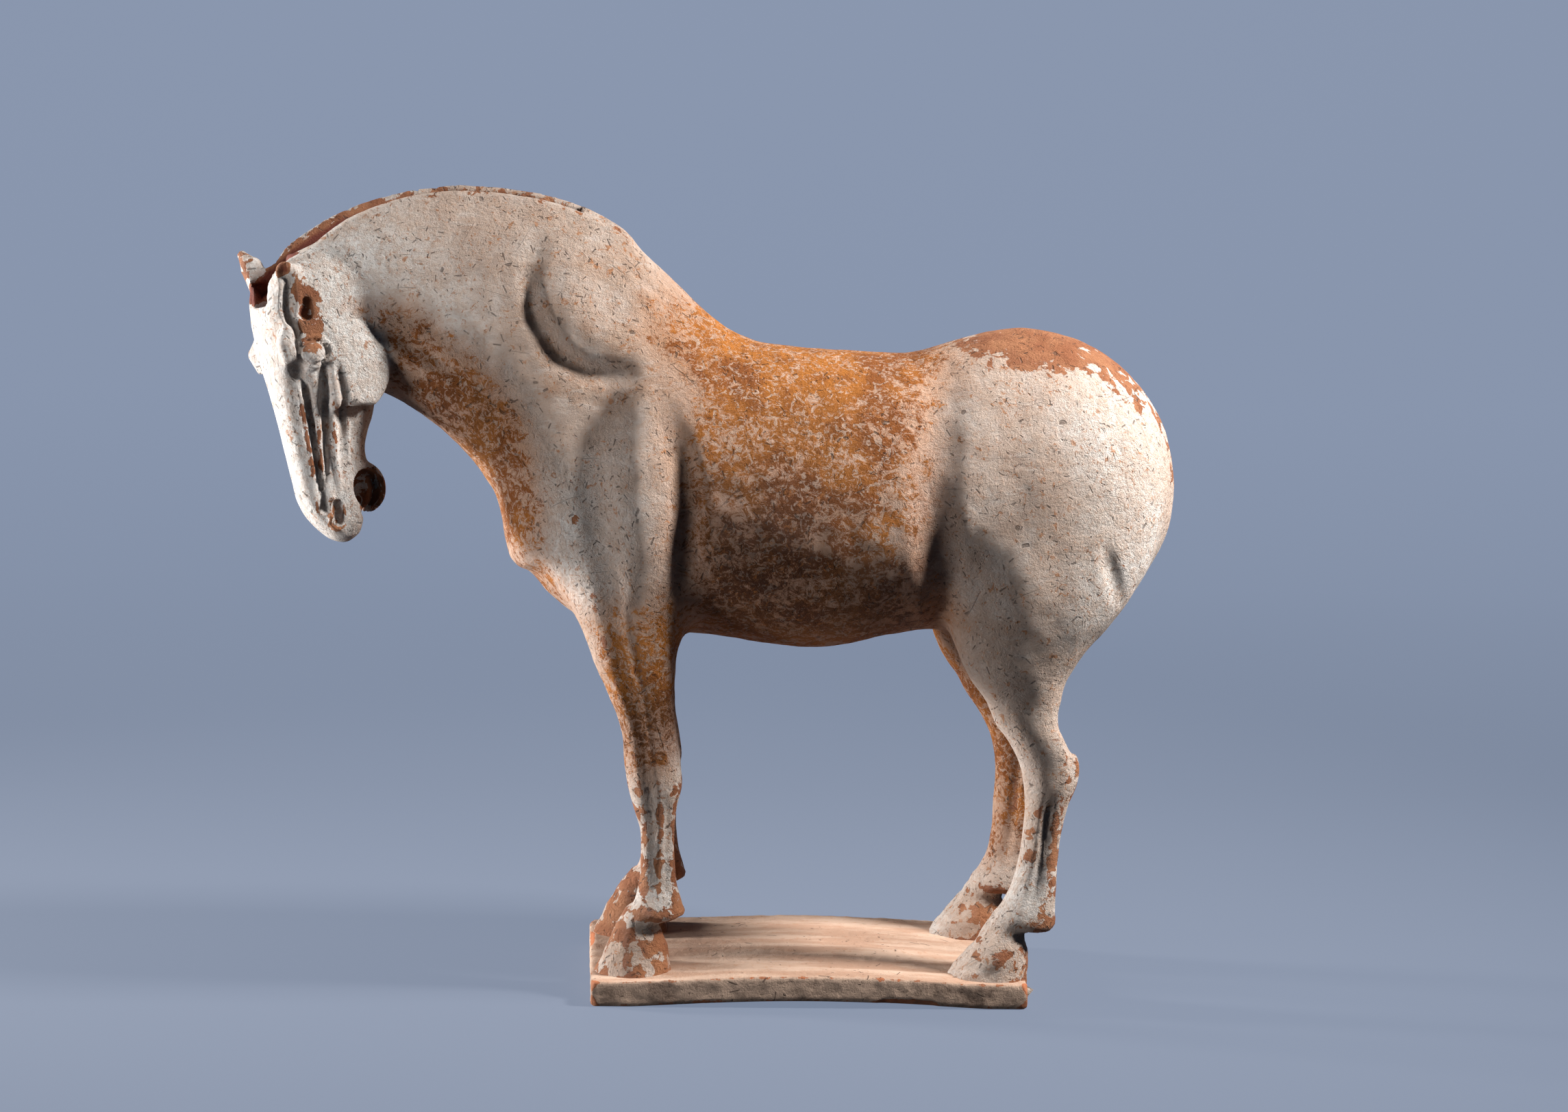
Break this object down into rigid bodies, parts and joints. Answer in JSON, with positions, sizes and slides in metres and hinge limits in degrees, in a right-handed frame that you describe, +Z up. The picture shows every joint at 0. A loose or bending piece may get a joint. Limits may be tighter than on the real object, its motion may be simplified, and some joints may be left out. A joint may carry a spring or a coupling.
{
  "type": "terracotta horse figure",
  "caption": "Fired clay figure of a standing horse with bowed, turned head and slotted crest, in one piece with its low arched slab.",
  "frame": {"origin": "centre of the bounding box, at the underside of the slab", "axes": "+Z up, +X from the head towards the tail, -Y out of the horse's own left side"},
  "size_m": [0.6, 0.182, 0.5088],
  "materials": {
    "fired_clay": "matt fired clay with worn white slip and ochre"
  },
  "bodies": {
    "root": {"terracotta_horse": "fired_clay"}
  },
  "joints": []
}
